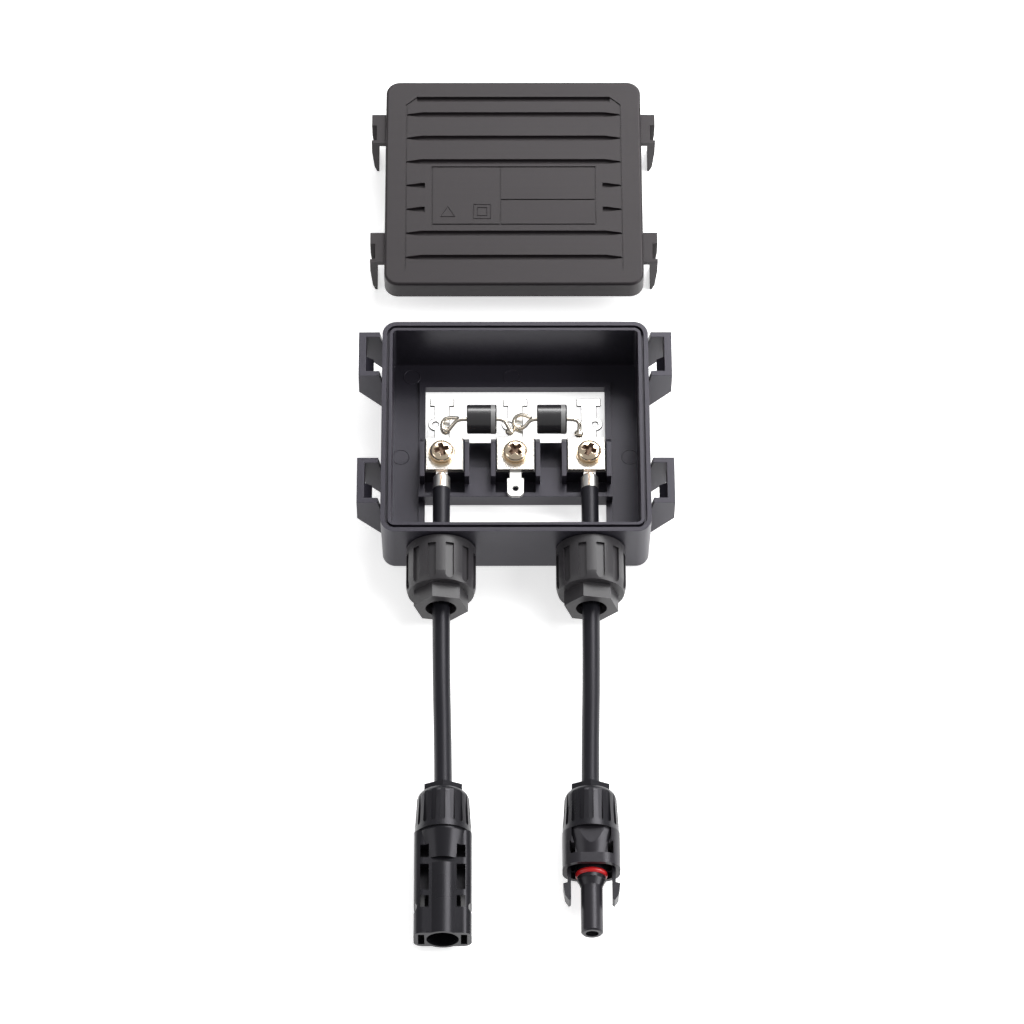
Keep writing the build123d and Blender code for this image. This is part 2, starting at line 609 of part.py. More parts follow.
def gland_nut():
    """Cable gland's cap nut: collar, fluted barrel, dome and hexagonal nose, with Z from the box's wall."""
    start, end = GLAND_NUT_START, GLAND_NUT_START + GLAND_NUT_LENGTH
    bore = SPIGOT_RADIUS + THREAD_CLEARANCE
    corner = GLAND_HEX_FLATS / math.sqrt(3)
    inner_step = SPIGOT_LENGTH + 0.6
    outline = (
        Polyline((bore, 0, start), (GLAND_NUT_RADIUS, 0, start), (GLAND_NUT_RADIUS, 0, GLAND_DOME_START))
        + ThreePointArc((GLAND_NUT_RADIUS, 0, GLAND_DOME_START),
                        (GLAND_NUT_RADIUS - 0.75, 0, GLAND_HEX_START), (corner, 0, end - 2.6))
        + Polyline((corner, 0, end - 2.6), (corner, 0, end), (GLAND_NOSE_BORE, 0, end),
                   (GLAND_NOSE_BORE, 0, end - 3.0), (bore, 0, inner_step), (bore, 0, start))
    )
    nut = revolve(make_face(outline), axis=Axis.Z)
    hexagon = Rot(0, 0, GLAND_HEX_TURN) * RegularPolygon(corner, 6)
    waste = Circle(GLAND_NUT_RADIUS + 1) - hexagon
    nut -= Pos(0, 0, GLAND_HEX_START) * extrude(waste, amount=end - GLAND_HEX_START)
    flute_end = GLAND_HEX_START - 0.6
    cut = flute_cut(GLAND_NUT_RADIUS, FLUTE_WIDTH, FLUTE_DEPTH, start + GLAND_COLLAR, flute_end)
    return nut - [Rot(0, 0, (number + 0.5) * 360 / FLUTES) * cut for number in range(FLUTES)]


def gland_seal():
    """Rubber sleeve round the cable, seated in the spigot's bore."""
    return sleeve(SPIGOT_BORE, CABLE_RADIUS, 2.0, SPIGOT_LENGTH)


def claw_ring(outer, inner, bottom, length):
    """Clamping ring with a slotted crown of fingers round the cable."""
    ring = turned((inner, bottom), (outer, bottom), (outer, bottom + length * 0.35),
                  (outer - length * 0.55, bottom + length), (inner, bottom + length))
    slot = Pos(0, 0, bottom + length * 0.7) * Box(2 * outer, 0.5, length * 0.6)
    for number in range(CLAW_FINGERS // 2):
        ring -= Rot(0, 0, number * 360 / CLAW_FINGERS) * slot
    return ring


def gland_claw():
    return claw_ring(SPIGOT_RADIUS - 0.8, CABLE_RADIUS + 0.2, SPIGOT_LENGTH, CLAW_LENGTH)


def connector_nut():
    """Connector's cap nut, with Z from the back of its small hexagon towards the housing."""
    corner = CONNECTOR_HEX_FLATS / math.sqrt(3)
    bore = CONNECTOR_THREAD_RADIUS + THREAD_CLEARANCE
    throat = CABLE_RADIUS + 0.5
    step, shoulder, length = CONNECTOR_HEX_LENGTH, CONNECTOR_SHOULDER_END, CONNECTOR_NUT_LENGTH
    back, rise = CONNECTOR_NUT_BACK_RADIUS, (shoulder - step) * 0.42
    outline = (
        Polyline((throat, 0, 0), (corner, 0, 0), (corner, 0, step), (corner + 0.3, 0, step))
        + ThreePointArc((corner + 0.3, 0, step), (back - 0.3, 0, step + rise), (back, 0, shoulder))
        + Polyline((back, 0, shoulder), (CONNECTOR_NUT_RADIUS, 0, length), (bore, 0, length),
                   (bore, 0, CONNECTOR_BACK - 0.3), (throat, 0, step + 0.6), (throat, 0, 0))
    )
    nut = revolve(make_face(outline), axis=Axis.Z)
    hexagon = Rot(0, 0, 30) * RegularPolygon(corner, 6)
    nut -= extrude(Circle(corner + 1) - hexagon, amount=step)
    cut = flute_cut(CONNECTOR_NUT_RADIUS, CONNECTOR_FLUTE_WIDTH, CONNECTOR_FLUTE_DEPTH,
                    CONNECTOR_FLUTE_START, CONNECTOR_FLUTE_END)
    spacing = 360 / CONNECTOR_FLUTES
    return nut - [Rot(0, 0, (number + 0.5) * spacing) * cut for number in range(CONNECTOR_FLUTES)]


def connector_seal():
    return sleeve(CONNECTOR_SEAL_RADIUS, CABLE_RADIUS, CONNECTOR_BACK, CABLE_END - 1.0)


def connector_claw():
    ring = claw_ring(CONNECTOR_SEAL_RADIUS + 0.6, CABLE_RADIUS + 0.2, 0, CONNECTOR_CLAW_LENGTH)
    return Pos(0, 0, CONNECTOR_BACK) * Rot(180, 0, 0) * ring


def housing_back(bore):
    """Threaded tube inside the nut, with the seal's seat and the contact's bore."""
    back = sleeve(CONNECTOR_THREAD_RADIUS, 0, CONNECTOR_BACK, CONNECTOR_NUT_LENGTH + 1)
    back -= sleeve(CONNECTOR_SEAL_RADIUS, 0, CONNECTOR_BACK, CABLE_END - 1.0)
    back -= sleeve(CABLE_RADIUS + 0.2, 0, CABLE_END - 1.0, CABLE_END)
    return back - sleeve(bore, 0, CABLE_END, CONNECTOR_NUT_LENGTH + 1)


def rounded_bar(width, height, radius, start, end):
    return Pos(0, 0, start) * extrude(RectangleRounded(width, height, radius), amount=end - start)


def both_sides(x_span, y_span, z_span):
    """Two boxes, one on each side of the axis."""
    right = block(x_span, y_span, z_span)
    return right + mirror(right, about=Plane.YZ)


def grip_cone(start):
    """Cone that leads from a nut's mouth down to a housing's middle."""
    end = start + CONNECTOR_CONE_LENGTH
    return turned((0, start), (CONNECTOR_CONE_BACK, start), (CONNECTOR_CONE_BACK, start + 0.8),
                  (CONNECTOR_CONE_FRONT, end), (0, end))


def socket_housing():
    """Socket connector's housing: central tube between two side rails, with latch pockets and slots."""
    start, end, half = CONNECTOR_NUT_LENGTH, SOCKET_FRONT, CONNECTOR_WIDTH / 2
    body = rounded_bar(CONNECTOR_WIDTH, SOCKET_HEIGHT, 3.0, start, end)
    body += grip_cone(start)
    body += sleeve(SOCKET_TUBE_RADIUS, 0, start + 12.2, end)
    pocket = (SOCKET_WINDOW_INNER, half - SOCKET_RAIL)
    for face in (1, -1):
        depth = (face * SOCKET_WEB / 2, face * SOCKET_HEIGHT)
        body -= both_sides(pocket, depth, (start + 5.6, start + 10.2))
        body -= both_sides(pocket, depth, (start + 12.6, start + 21.9))
        body -= both_sides(pocket, depth, (start + 24.0, start + 28.2))
    slot = (SOCKET_SLOT_X - SOCKET_SLOT_WIDTH / 2, SOCKET_SLOT_X + SOCKET_SLOT_WIDTH / 2)
    slot_y = (-SOCKET_SLOT_HEIGHT / 2, SOCKET_SLOT_HEIGHT / 2)
    body -= both_sides(slot, slot_y, (start + 24.0, end))
    waist_x = half + SOCKET_WAIST_RADIUS - SOCKET_WAIST_DEPTH
    waist = Pos(waist_x, 0, SOCKET_WAIST) * Rot(90, 0, 0) * Cylinder(SOCKET_WAIST_RADIUS, 2 * SOCKET_HEIGHT)
    body -= waist + mirror(waist, about=Plane.YZ)
    body -= sleeve(SOCKET_MOUTH_RADIUS, 0, end - SOCKET_MOUTH_DEPTH, end)
    body -= sleeve(SOCKET_BORE_RADIUS, 0, CABLE_END + CONTACT_CRIMP, end)
    body -= sleeve(CONTACT_RADIUS, 0, start, end)
    return body + housing_back(CONTACT_RADIUS)


def socket_contact():
    """Sprung sleeve behind the socket's bore, with a solid crimp end."""
    back = CABLE_END + CONTACT_CRIMP
    sleeve_end = SOCKET_FRONT - SOCKET_MOUTH_DEPTH - 1.5
    contact = sleeve(CONTACT_RADIUS, 0, CABLE_END, sleeve_end)
    contact -= sleeve(PIN_RADIUS + 0.1, 0, back, sleeve_end)
    slot = Pos(0, 0, sleeve_end - 5) * Box(4 * CONTACT_RADIUS, 0.5, 10)
    return contact - slot - Rot(0, 0, 90) * slot


def latch_arm():
    """Plug's sprung arm on its right-hand side, with a barbed tip."""
    inner, outer = ARM_X - ARM_THICKNESS / 2, ARM_X + ARM_THICKNESS / 2
    arm_outline = Polyline(
        (inner, PLUG_BODY_END - PLUG_CAVITY - 0.5),
        (outer, PLUG_BODY_END - PLUG_CAVITY - 0.5),
        (outer, ARM_END - BARB_LENGTH),
        (outer + BARB_DEPTH, ARM_END - BARB_LENGTH + 0.4),
        (outer + BARB_DEPTH * 0.6, ARM_END - 2.0),
        (inner + 0.7, ARM_END),
        (inner, ARM_END - 0.6),
        close=True,
    )
    arm = extrude(Plane.XZ * make_face(arm_outline), amount=ARM_HEIGHT)
    return Pos(0, ARM_HEIGHT / 2, 0) * arm


def plug_housing():
    """Plug connector's housing: hollow collar with two latch arms, round a central nose."""
    start, end = CONNECTOR_NUT_LENGTH, PLUG_BODY_END
    body = rounded_bar(CONNECTOR_WIDTH, PLUG_HEIGHT, PLUG_CORNER, start, end)
    deck_half = CONNECTOR_WIDTH / 2 - 2 * PLUG_WALL
    for face in (1, -1):
        recess = (face * PLUG_DECK, face * PLUG_HEIGHT)
        body -= block((-deck_half, deck_half), recess, (start, end - PLUG_BAND))
    body += grip_cone(start) & rounded_bar(CONNECTOR_WIDTH, PLUG_HEIGHT, PLUG_CORNER, start, end)
    inner = (CONNECTOR_WIDTH - 2 * PLUG_WALL, 2 * PLUG_DECK - 2 * PLUG_WALL, 3.0)
    body -= rounded_bar(*inner, end - PLUG_CAVITY, end)
    mouth = (CONNECTOR_WIDTH - 2 * PLUG_WALL, PLUG_HEIGHT - 2 * PLUG_WALL, PLUG_CORNER - PLUG_WALL)
    body -= rounded_bar(*mouth, end - PLUG_BAND + PLUG_WALL, end)
    window_start = end - PLUG_BAND - PLUG_WINDOW_LENGTH / 2
    for side in (1, -1):
        window = Pos(side * PLUG_WINDOW_X, PLUG_HEIGHT / 2, window_start)
        body -= window * Box(PLUG_WINDOW_WIDTH, PLUG_HEIGHT, PLUG_WINDOW_LENGTH)
    body += sleeve(PLUG_COLLAR_RADIUS, 0, start, PLUG_COLLAR_END)
    body += turned((0, PLUG_COLLAR_END), (PLUG_COLLAR_RADIUS - 0.2, PLUG_COLLAR_END),
                   (PLUG_NOSE_RADIUS, PLUG_COLLAR_END + 2.4), (0, PLUG_COLLAR_END + 2.4))
    body += turned((0, PLUG_COLLAR_END), (PLUG_NOSE_RADIUS, PLUG_COLLAR_END),
                   (PLUG_NOSE_RADIUS, PLUG_NOSE_END - 0.5), (PLUG_NOSE_RADIUS - 0.5, PLUG_NOSE_END),
                   (0, PLUG_NOSE_END))
    half = O_RING_SECTION
    body -= sleeve(PLUG_COLLAR_RADIUS + 1, O_RING_SEAT, O_RING_AT - half, O_RING_AT + half)
    arm = latch_arm()
    body += arm + mirror(arm, about=Plane.YZ)
    body -= sleeve(PLUG_NOSE_BORE, 0, start, PLUG_NOSE_END)
    body -= sleeve(CONTACT_RADIUS - 0.5, 0, start, CABLE_END + CONTACT_CRIMP)
    return body + housing_back(CONTACT_RADIUS - 0.5)


def plug_contact():
    """Solid pin inside the plug's nose, with its crimp end towards the cable."""
    crimp = sleeve(CONTACT_RADIUS - 0.5, 0, CABLE_END, CABLE_END + CONTACT_CRIMP)
    tip = PLUG_NOSE_END - 1.6
    pin = turned((0, CABLE_END + 1), (PLUG_NOSE_BORE, CABLE_END + 1), (PLUG_NOSE_BORE, CABLE_END + 10),
                 (PIN_RADIUS, CABLE_END + 10), (PIN_RADIUS, tip - 1.0), (PIN_RADIUS - 0.9, tip), (0, tip))
    return crimp + pin


def o_ring():
    middle = O_RING_SEAT + O_RING_SECTION
    return Pos(0, 0, O_RING_AT) * Torus(middle, O_RING_SECTION)


def cable_route(side):
    """Corners of one lead's centre line, from its crimp to its connector."""
    gland_x, connector_x = side * TERMINAL_PITCH, side * CONNECTOR_X
    return [
        (gland_x, CABLE_START, GLAND_Z),
        (gland_x, CABLE_BEND_1, GLAND_Z),
        (connector_x, CABLE_BEND_2, CONNECTOR_Z),
        (connector_x, CONNECTOR_Y - CABLE_END, CONNECTOR_Z),
    ]


def bend_radii(route):
    """Largest arc that each inner corner of a route has room for."""
    runs = [Vector(*b) - Vector(*a) for a, b in zip(route, route[1:])]
    radii = []
    for before, after in zip(runs, runs[1:]):
        half_turn = math.radians(before.get_angle(after)) / 2
        radii.append(0.45 * min(before.length, after.length) / math.tan(half_turn))
    return radii


def cable(side):
    route = cable_route(side)
    radii = bend_radii(route)
    path = FilletPolyline(*route, radius=radii)
    section = Plane(origin=route[0], z_dir=(0, -1, 0)) * Circle(CABLE_RADIUS)
    lead = sweep(section, path=path)
    expected = math.pi * CABLE_RADIUS ** 2 * path.length
    print("cable bend radii:", [round(radius, 1) for radius in radii])
    print("cable length:", round(path.length, 1), "volume over section times length:",
          round(lead.volume / expected, 5))
    return lead


def conductor(side):
    """Bare end of the cable's strands, held in the crimp barrel."""
    strands = sleeve(CONDUCTOR_RADIUS, 0, -STRAND_LENGTH, CRIMP_LENGTH)
    return outward(side * TERMINAL_PITCH, CRIMP_BACK, GLAND_Z) * strands


def solder_places():
    """Feet of the four diode leads, as (diode, end, place)."""
    left_x, right_x = DIODE_SHIFT - DIODE_X, DIODE_SHIFT + DIODE_X
    return [
        ("left", left_x, -1, (1.2 - TERMINAL_PITCH, 8.2)),
        ("left", left_x, 1, (-1.9, 7.6)),
        ("right", right_x, -1, (1.7, 8.4)),
        ("right", right_x, 1, (TERMINAL_PITCH - 2.4, 6.8)),
    ]


def build():
    """Every piece of the box, by node name."""
    nodes = {"base_shell": base_shell(), "cover_shell": cover_shell(), "cover_seal": cover_seal()}
    for name, x in TERMINALS.items():
        seat = Pos(x, 0, 0)
        nodes[f"terminal_rail_{name}"] = seat * terminal_rail(name)
        nodes[f"clamp_plate_{name}"] = seat * clamp_plate(name)
        nodes[f"terminal_washer_{name}"] = seat * terminal_washer()
        nodes[f"terminal_screw_{name}"] = seat * terminal_screw()
        nodes[f"terminal_nut_{name}"] = seat * terminal_nut()
    joints = [solder_joint(place) for _, _, _, place in solder_places()]
    for name in SIDES:
        ends = [entry for entry in solder_places() if entry[0] == name]
        nodes[f"diode_body_{name}"] = diode_body(ends[0][1])
        wires = [diode_lead(x, end, place) for _, x, end, place in ends]
        feet = Compound(children=joints)
        nodes[f"diode_leads_{name}"] = Compound(children=[wire - feet for wire in wires])
    nodes["solder_joints"] = Compound(children=joints)
    for name, side in SIDES.items():
        front = outward(side * TERMINAL_PITCH, FRONT_Y, GLAND_Z)
        nodes[f"gland_nut_{name}"] = front * gland_nut()
        nodes[f"gland_claw_{name}"] = front * gland_claw()
        nodes[f"gland_seal_{name}"] = front * gland_seal()
        nodes[f"conductor_{name}"] = conductor(side)
        nodes[f"cable_{name}"] = cable(side)
    socket = outward(-CONNECTOR_X, CONNECTOR_Y, CONNECTOR_Z)
    plug = outward(CONNECTOR_X, CONNECTOR_Y, CONNECTOR_Z)
    nodes["socket_housing"] = socket * socket_housing()
    nodes["socket_contact"] = socket * socket_contact()
    nodes["plug_housing"] = plug * plug_housing()
    nodes["plug_contact"] = plug * plug_contact()
    nodes["plug_o_ring"] = plug * o_ring()
    for name, place in (("socket", socket), ("plug", plug)):
        nodes[f"{name}_nut"] = place * connector_nut()
        nodes[f"{name}_seal"] = place * connector_seal()
        nodes[f"{name}_claw"] = place * connector_claw()
    return nodes


os.makedirs("parts", exist_ok=True)
for node, solid in build().items():
    export_step(solid, f"parts/{node}.step")
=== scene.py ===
"""Looks, camera and light of the photovoltaic junction box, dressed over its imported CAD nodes."""
import math

import bpy
from mathutils import Matrix, Vector


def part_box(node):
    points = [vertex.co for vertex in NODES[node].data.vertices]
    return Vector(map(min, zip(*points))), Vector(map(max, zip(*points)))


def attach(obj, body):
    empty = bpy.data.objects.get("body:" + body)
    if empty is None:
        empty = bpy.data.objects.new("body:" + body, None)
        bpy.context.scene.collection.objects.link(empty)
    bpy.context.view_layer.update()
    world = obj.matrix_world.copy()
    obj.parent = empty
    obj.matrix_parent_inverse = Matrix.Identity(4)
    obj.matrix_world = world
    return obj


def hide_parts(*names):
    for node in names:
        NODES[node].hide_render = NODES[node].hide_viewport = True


MM = 0.001

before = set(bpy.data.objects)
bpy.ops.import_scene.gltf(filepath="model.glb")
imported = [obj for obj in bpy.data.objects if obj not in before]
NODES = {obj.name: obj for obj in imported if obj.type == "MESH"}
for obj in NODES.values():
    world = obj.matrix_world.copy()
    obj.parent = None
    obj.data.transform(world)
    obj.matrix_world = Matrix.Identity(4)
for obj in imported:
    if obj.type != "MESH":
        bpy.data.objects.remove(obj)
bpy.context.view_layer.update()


# ---------------------------------------------------------------- materials

CLOUD_SCALE = 60.0
GRAIN_STRENGTH = 0.35


def add(tree, kind, **values):
    """Node of one kind, with its settings and unlinked sockets filled in by name."""
    node = tree.nodes.new(kind)
    for name, value in values.items():
        label = name.replace("_", " ")
        if label in node.inputs:
            node.inputs[label].default_value = value
        else:
            setattr(node, name, value)
    return node


def material(name, color, roughness, metallic=0.0, grain=0.0, grain_size=0.5, spread=0.08, smudge=0.06,
             specular=0.5, gloss_tint=(1, 1, 1), streak=(1, 1, 1)):
    """Principled material with a fine moulded or rolled grain and slight unevenness in colour and gloss."""
    made = bpy.data.materials.new(name)
    made.use_nodes = True
    tree = made.node_tree
    shader = tree.nodes["Principled BSDF"]
    place = add(tree, "ShaderNodeTexCoord")
    stretch = add(tree, "ShaderNodeMapping", Scale=streak)
    tree.links.new(place.outputs["Object"], stretch.inputs["Vector"])
    cloud = add(tree, "ShaderNodeTexNoise", Scale=CLOUD_SCALE, Detail=3.0, Roughness=0.55)
    tree.links.new(stretch.outputs["Vector"], cloud.inputs["Vector"])
    tint = add(tree, "ShaderNodeMix", data_type="RGBA")
    low = [max(c * (1 - spread), 0.0) for c in color]
    high = [min(c * (1 + spread), 1.0) for c in color]
    tint.inputs[6].default_value = (*low, 1)
    tint.inputs[7].default_value = (*high, 1)
    tree.links.new(cloud.outputs["Fac"], tint.inputs["Factor"])
    tree.links.new(tint.outputs[2], shader.inputs["Base Color"])
    gloss = add(tree, "ShaderNodeMapRange")
    gloss.inputs["To Min"].default_value = max(roughness - smudge, 0.03)
    gloss.inputs["To Max"].default_value = min(roughness + smudge, 1.0)
    tree.links.new(cloud.outputs["Fac"], gloss.inputs["Value"])
    tree.links.new(gloss.outputs["Result"], shader.inputs["Roughness"])
    if grain:
        fine = add(tree, "ShaderNodeTexNoise", Scale=1000.0 / grain_size, Detail=2.0)
        tree.links.new(place.outputs["Object"], fine.inputs["Vector"])
        bump = add(tree, "ShaderNodeBump", Strength=GRAIN_STRENGTH, Distance=grain * MM)
        tree.links.new(fine.outputs["Fac"], bump.inputs["Height"])
        tree.links.new(bump.outputs["Normal"], shader.inputs["Normal"])
    shader.inputs["Metallic"].default_value = metallic
    shader.inputs["Specular Tint"].default_value = (*gloss_tint, 1)
    shader.inputs["Specular IOR Level"].default_value = specular
    return made


COOL_GLOSS = (0.95, 0.93, 1.0)

MATERIALS = {
    "housing": material("housing plastic", (0.020, 0.0185, 0.0255), 0.34, grain=0.015, grain_size=0.35,
                        specular=0.48, gloss_tint=(0.93, 0.90, 1.0)),
    "cover": material("cover plastic", (0.017, 0.0145, 0.016), 0.42, grain=0.015, grain_size=0.35, spread=0.2,
                      smudge=0.09, specular=0.30, gloss_tint=(1.0, 0.95, 0.97), streak=(0.15, 6, 6)),
    "gland": material("gland plastic", (0.031, 0.029, 0.032), 0.40, grain=0.015, specular=0.44),
    "connector": material("connector plastic", (0.009, 0.0088, 0.011), 0.29, grain=0.01, specular=0.33,
                          gloss_tint=COOL_GLOSS),
    "plug": material("plug plastic", (0.014, 0.013, 0.016), 0.32, grain=0.01, specular=0.42,
                     gloss_tint=COOL_GLOSS),
    "rubber": material("seal rubber", (0.02, 0.02, 0.02), 0.7, grain=0.01),
    "jacket": material("cable jacket", (0.009, 0.009, 0.012), 0.36, grain=0.012, grain_size=0.8,
                       specular=0.28, gloss_tint=COOL_GLOSS),
    "tin": material("tinned copper", (0.72, 0.715, 0.70), 0.34, metallic=1.0, spread=0.05),
    # sides of the rails and clamp plates: a duller sheared finish, with a near-black colour that is painted
    # shade outlining them
    "sheared": material("sheared edge painted shade", (0.11, 0.105, 0.10), 0.45, metallic=1.0, spread=0.1),
    "plate": material("plated steel", (0.88, 0.84, 0.78), 0.27, metallic=1.0, spread=0.05),
    "nickel": material("nickel plate", (0.92, 0.76, 0.57), 0.18, metallic=1.0, spread=0.06),
    # dark brown of the screws' cross recesses: painted shade inside the recess
    "recess": material("screw recess painted shade", (0.15, 0.095, 0.065), 0.5, metallic=0.7, spread=0.2),
    "solder": material("solder", (0.84, 0.77, 0.66), 0.20, metallic=1.0),
    "copper": material("bare copper", (0.84, 0.60, 0.44), 0.3, metallic=1.0),
    "strand": material("crimped strand", (0.60, 0.46, 0.34), 0.4, metallic=1.0, spread=0.2),
    "diode": material("diode body", (0.019, 0.018, 0.020), 0.25, spread=0.1, specular=1.0),
    "band": material("diode band", (0.22, 0.22, 0.22), 0.35),
    "o_ring": material("o-ring", (0.60, 0.012, 0.015), 0.30),
}

LOOKS = {
    "base_shell": ("housing", 0.25), "cover_shell": ("cover", 0.0), "cover_seal": ("rubber", 0.0),
    "gland_nut": ("gland", 0.0), "gland_claw": ("gland", 0.0), "gland_seal": ("rubber", 0.0),
    "terminal_rail": ("tin", 0.24), "clamp_plate": ("plate", 0.15), "terminal_washer": ("nickel", 0.0),
    "terminal_screw": ("nickel", 0.0), "terminal_nut": ("plate", 0.15),
    "diode_body": ("diode", 0.0), "diode_leads": ("solder", 0.0), "solder_joints": ("solder", 0.0),
    "cable": ("jacket", 0.0), "conductor": ("copper", 0.0),
    "socket_housing": ("connector", 0.0), "socket_nut": ("connector", 0.0),
    "socket_seal": ("rubber", 0.0), "socket_claw": ("connector", 0.0), "socket_contact": ("tin", 0.0),
    "plug_housing": ("plug", 0.0), "plug_nut": ("connector", 0.0), "plug_seal": ("rubber", 0.0),
    "plug_claw": ("connector", 0.0), "plug_contact": ("tin", 0.0), "plug_o_ring": ("o_ring", 0.0),
}


def look_of(name):
    """Material and edge width of a node, by its own name or its family's."""
    matches = [key for key in LOOKS if name.startswith(key)]
    return LOOKS[max(matches, key=len)]


# ---------------------------------------------------------------- CAD nodes

WELD_GAP = 0.002
SHARP_ANGLE = math.radians(32)
STRIP_FRONT = -9.5  # the crimps and spade in front of this keep their bright sides; the strip sides behind it get painted shade


def soften(obj, width, clamp=True):
    """Joins the mesh's doubled corners and flat triangles, then rounds its sharp edges."""
    obj.data.shade_smooth()
    weld = obj.modifiers.new("weld", "WELD")
    weld.merge_threshold = WELD_GAP * MM
    flat = obj.modifiers.new("flat", "DECIMATE")
    flat.decimate_type = "DISSOLVE"
    flat.angle_limit = math.radians(1)
    flat.delimit = {"MATERIAL"}
    bevel = obj.modifiers.new("edge", "BEVEL")
    bevel.width = width * MM
    bevel.segments = 2
    bevel.limit_method = "ANGLE"
    bevel.angle_limit = SHARP_ANGLE
    bevel.use_clamp_overlap = clamp
    level = obj.modifiers.new("level", "WEIGHTED_NORMAL")
    level.weight = 100


def dull_and_shade_edges(obj):
    """Gives the sheared sides of a flat strip, and their rounding, a duller finish and a dark colour that is
    painted shade along them.
    """
    obj.data.materials.append(MATERIALS["sheared"])
    for face in obj.data.polygons:
        if abs(face.normal.z) < 0.1 and face.center.y > STRIP_FRONT * MM:
            face.material_index = 1
    obj.modifiers["edge"].material = 1


for name, obj in NODES.items():
    key, width = look_of(name)
    obj.data.materials.clear()
    obj.data.materials.append(MATERIALS[key])
    if width:
        soften(obj, width, clamp=not name.startswith("terminal_rail"))
    if name.startswith(("terminal_rail", "clamp_plate")):
        dull_and_shade_edges(obj)


# ---------------------------------------------------------------- own pieces, with their points in mm

def placed(name, data, body):
    """New object in the scene that rides a body and wears one of the part's materials."""
    obj = bpy.data.objects.new(name, data)
    bpy.context.scene.collection.objects.link(obj)
    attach(obj, body)
    return obj


def mesh_of(name, points, faces, *looks):
    """Mesh from its points and faces, with its materials."""
    mesh = bpy.data.meshes.new(name)
    mesh.from_pydata([Vector(point) * MM for point in points], [], faces)
    for look in looks:
        mesh.materials.append(MATERIALS[look])
    return mesh


def round_curve(name, radius, look, roundness):
    """Empty curve whose splines become capped round wires."""
    data = bpy.data.curves.new(name, "CURVE")
    data.dimensions = "3D"
    data.bevel_depth = radius * MM
    data.bevel_resolution = roundness
    data.use_fill_caps = True
    data.materials.append(MATERIALS[look])
    return data


def add_route(data, corners, resolution):
    """One smooth spline that starts and ends on its outer corners and bends towards the others."""
    spline = data.splines.new("NURBS")
    spline.points.add(len(corners) - 1)
    for point, corner in zip(spline.points, corners):
        point.co = (*(Vector(corner) * MM), 1.0)
    spline.order_u = 3
    spline.use_endpoint_u = True
    spline.resolution_u = resolution


def strip_faces(first, second, sides):
    """Quads between two rings of points, each given by the number of its first point."""
    faces = []
    for step in range(sides):
        after = (step + 1) % sides
        faces.append((first + step, second + step, second + after, first + after))
    return faces


# ---------------------------------------------------------------- cables

GLAND_X, GLAND_Z = 25.7, 12.5
CONNECTOR_X, CONNECTOR_Z = 24.6, 9.5
CABLE_START, CABLE_END = -18.4, -148.9
CABLE_DIAMETER = 6.0


def cable(name, side):
    """One lead as a curve along the CAD cable's own route."""
    corners = [
        (side * GLAND_X, CABLE_START, GLAND_Z),
        (side * GLAND_X, -80.0, GLAND_Z),
        (side * CONNECTOR_X, -124.0, CONNECTOR_Z),
        (side * CONNECTOR_X, CABLE_END, CONNECTOR_Z),
    ]
    data = round_curve(f"lead_{name}", CABLE_DIAMETER / 2, "jacket", roundness=8)
    add_route(data, corners, resolution=24)
    obj = placed(f"lead_{name}", data, "box")
    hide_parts(f"cable_{name}")


for cable_side, family, sign in (("left", "socket", -1), ("right", "plug", 1)):
    cable(cable_side, sign)


# ---------------------------------------------------------------- diode bands

BAND_LENGTH, BAND_WALL, BAND_INSET = 1.5, 0.05, 2.0


def diode_band(side, sides=96):
    """Painted ring round a diode's barrel near its right end, as one closed mesh."""
    low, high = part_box(f"diode_body_{side}")
    radius = (high.z - low.z) / 2 / MM
    outer, inner = radius + BAND_WALL, radius - BAND_WALL
    points, faces = [], []
    for ring_radius, z in ((outer, 0), (outer, BAND_LENGTH), (inner, BAND_LENGTH), (inner, 0)):
        for step in range(sides):
            angle = 2 * math.pi * step / sides
            points.append((ring_radius * math.cos(angle), ring_radius * math.sin(angle), z))
    for ring in range(4):
        faces += strip_faces((ring + 1) % 4 * sides, ring * sides, sides)
    mesh = mesh_of(f"diode_band_{side}", points, faces, "band")
    middle = (low + high) / 2
    place = Vector((high.x - BAND_INSET * MM, middle.y, middle.z))
    mesh.transform(Matrix.Translation(place) @ Matrix.Rotation(math.radians(90), 4, "Y"))
    mesh.shade_smooth()
    mesh.set_sharp_from_angle(angle=math.radians(40))
    placed(f"diode_band_{side}", mesh, "box")


for diode_side in ("left", "right"):
    diode_band(diode_side)


# ---------------------------------------------------------------- diode leads and solder

RAIL_TOP = 10.8
LEAD_RADIUS = 0.68
LEADS = {
    "left": (
        ((-16.6, 9.3, 14.1), (-19.9, 9.4, 14.3), (-22.0, 7.6, 13.0), (-23.6, 6.0, 11.4), (-25.8, 7.2, 11.4),
         (-25.3, 10.6, 11.8), (-22.9, 10.9, 12.8), (-20.0, 9.9, 13.9)),
        ((-6.9, 9.3, 14.1), (-4.2, 9.4, 14.2), (-2.8, 7.7, 12.9), (-1.9, 6.2, 11.3)),
    ),
    "right": (
        ((7.9, 9.3, 14.1), (5.3, 9.4, 14.2), (3.4, 7.0, 12.6), (1.0, 7.0, 11.4), (-0.9, 9.4, 11.4),
         (0.2, 11.8, 12.2), (3.0, 12.0, 13.2), (5.4, 9.9, 13.9)),
        ((17.6, 9.3, 14.1), (20.4, 9.4, 14.2), (22.4, 8.6, 13.2), (22.3, 6.9, 12.0), (22.1, 5.0, 11.3)),
    ),
}
SOLDER_FEET = ((-24.3, 6.6), (-1.9, 6.3), (0.9, 7.8), (22.2, 5.4))
SOLDER_HALF = (1.7, 1.45, 1.2)


